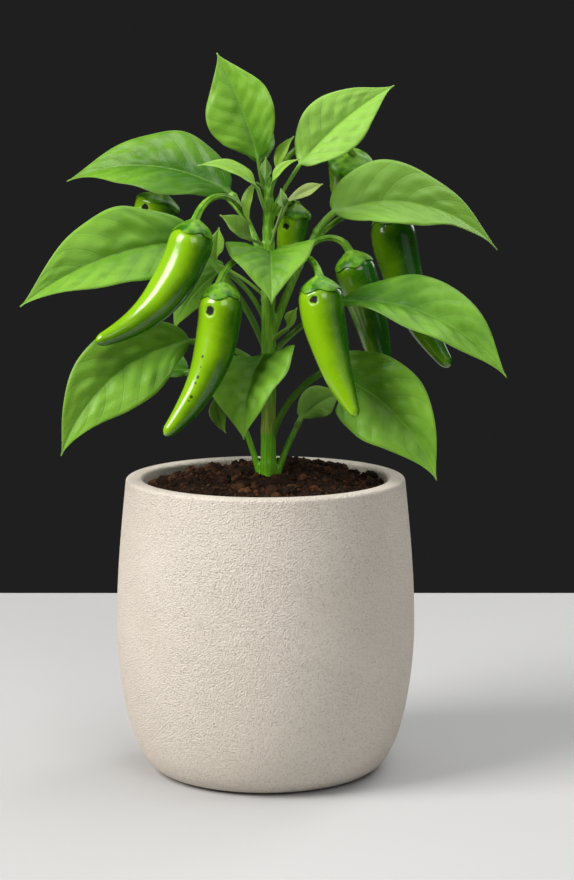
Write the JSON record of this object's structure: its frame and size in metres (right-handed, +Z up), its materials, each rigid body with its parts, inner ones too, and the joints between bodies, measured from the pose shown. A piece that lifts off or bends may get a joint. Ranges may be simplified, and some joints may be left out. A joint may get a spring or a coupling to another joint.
{
  "type": "potted chilli pepper plant",
  "caption": "Bushy chilli pepper plant with hanging green pods, growing from dark potting mix in a rounded sand-coloured stone pot.",
  "frame": {"origin": "point of the pot's own axis that lies on the surface the pot stands on", "axes": "+Z up along the pot's axis, -Y towards the plant's front, +X to the right seen from the front"},
  "size_m": [0.2843, 0.1897, 0.4309],
  "materials": {
    "pot_stone": "fine matte grain",
    "soil_brown": "loose moist crumbs",
    "stem_green": "smooth satin",
    "leaf_green": "waxy satin",
    "pod_green": "glossy",
    "calyx_green": "satin"
  },
  "bodies": {
    "root": {"pot": "pot_stone", "soil": "soil_brown", "stem": "stem_green", "pod_1": "pod_green", "pod_2": "pod_green", "pod_3": "pod_green", "pod_4": "pod_green", "pod_5": "pod_green", "pod_6": "pod_green", "pod_7": "pod_green", "pod_8": "pod_green", "calyx_1": "calyx_green", "calyx_2": "calyx_green", "calyx_3": "calyx_green", "calyx_4": "calyx_green", "calyx_5": "calyx_green", "calyx_6": "calyx_green", "calyx_7": "calyx_green", "calyx_8": "calyx_green", "leaf_crown_left": "leaf_green", "leaf_crown_right": "leaf_green", "leaf_crown_back": "leaf_green", "leaf_upper_left": "leaf_green", "leaf_upper_right": "leaf_green", "leaf_upper_back": "leaf_green", "leaf_middle_left": "leaf_green", "leaf_middle_right": "leaf_green", "leaf_inner_left": "leaf_green", "leaf_lower_left": "leaf_green", "leaf_lower_right": "leaf_green", "leaf_lower_back": "leaf_green", "leaf_low_back_left": "leaf_green", "leaf_front_upper": "leaf_green", "leaf_front_lower": "leaf_green", "sprout_base_right": "leaf_green", "sprout_base_left": "leaf_green", "sprout_knob": "leaf_green", "sprout_left": "leaf_green", "sprout_arched": "leaf_green", "sprout_hanging": "leaf_green", "sprout_pale": "leaf_green", "sprout_axil": "leaf_green", "sprout_crown": "leaf_green", "sprout_tall": "leaf_green", "sprout_bud": "leaf_green", "sprout_small_right": "leaf_green"}
  },
  "joints": []
}
